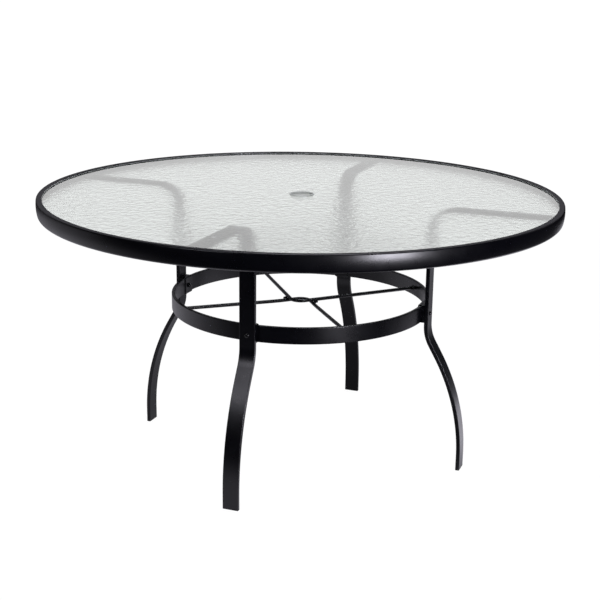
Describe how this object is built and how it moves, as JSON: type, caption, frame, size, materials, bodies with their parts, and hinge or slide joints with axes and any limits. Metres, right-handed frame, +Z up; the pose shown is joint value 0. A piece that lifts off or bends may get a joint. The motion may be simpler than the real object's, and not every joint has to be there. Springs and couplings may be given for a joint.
{
  "type": "umbrella table",
  "caption": "Round glass-topped outdoor dining table with a pole hole, black metal rim, curved flat-tube legs, stretcher ring and a rod cross that guides the pole.",
  "frame": {"origin": "on the floor under the middle of the round top", "axes": "+Z up through the umbrella hole; the legs stand at 45, 135, 225 and 315 degrees about +Z, so +X and +Y point between legs; -Y is the front"},
  "size_m": [1.3716, 1.3716, 0.7112],
  "materials": {
    "black_powder_coat": "satin powder coat",
    "textured_glass": "tempered, rippled on its underside",
    "clear_vinyl": "translucent soft vinyl",
    "black_steel": "black coated steel, satin",
    "black_nylon": "moulded, matt"
  },
  "bodies": {
    "root": {"rim_frame": "black_powder_coat", "glass_top": "textured_glass", "glazing_gasket": "clear_vinyl", "umbrella_hole_grommet": "clear_vinyl", "stretcher_ring": "black_powder_coat", "pole_rod_upper": "black_powder_coat", "pole_rod_lower": "black_powder_coat", "leg_front_left": "black_powder_coat", "leg_front_right": "black_powder_coat", "leg_rear_right": "black_powder_coat", "leg_rear_left": "black_powder_coat", "foot_glide_front_left": "black_nylon", "foot_glide_front_right": "black_nylon", "foot_glide_rear_right": "black_nylon", "foot_glide_rear_left": "black_nylon", "glass_bumper_front_left": "clear_vinyl", "glass_bumper_front_right": "clear_vinyl", "glass_bumper_rear_right": "clear_vinyl", "glass_bumper_rear_left": "clear_vinyl", "ring_saddle_front_left": "black_powder_coat", "ring_saddle_front_right": "black_powder_coat", "ring_saddle_rear_right": "black_powder_coat", "ring_saddle_rear_left": "black_powder_coat", "ring_spacer_front_left": "black_powder_coat", "ring_spacer_front_right": "black_powder_coat", "ring_spacer_rear_right": "black_powder_coat", "ring_spacer_rear_left": "black_powder_coat", "leg_bolt_front_left": "black_steel", "leg_bolt_front_right": "black_steel", "leg_bolt_rear_right": "black_steel", "leg_bolt_rear_left": "black_steel", "cap_nut_front_left": "black_steel", "cap_nut_front_right": "black_steel", "cap_nut_rear_right": "black_steel", "cap_nut_rear_left": "black_steel", "rim_bracket_front_left": "black_powder_coat", "rim_bracket_front_right": "black_powder_coat", "rim_bracket_rear_right": "black_powder_coat", "rim_bracket_rear_left": "black_powder_coat", "bracket_screw_outer_front_left": "black_steel", "bracket_screw_outer_front_right": "black_steel", "bracket_screw_outer_rear_right": "black_steel", "bracket_screw_outer_rear_left": "black_steel", "bracket_screw_inner_front_left": "black_steel", "bracket_screw_inner_front_right": "black_steel", "bracket_screw_inner_rear_right": "black_steel", "bracket_screw_inner_rear_left": "black_steel"}
  },
  "joints": []
}
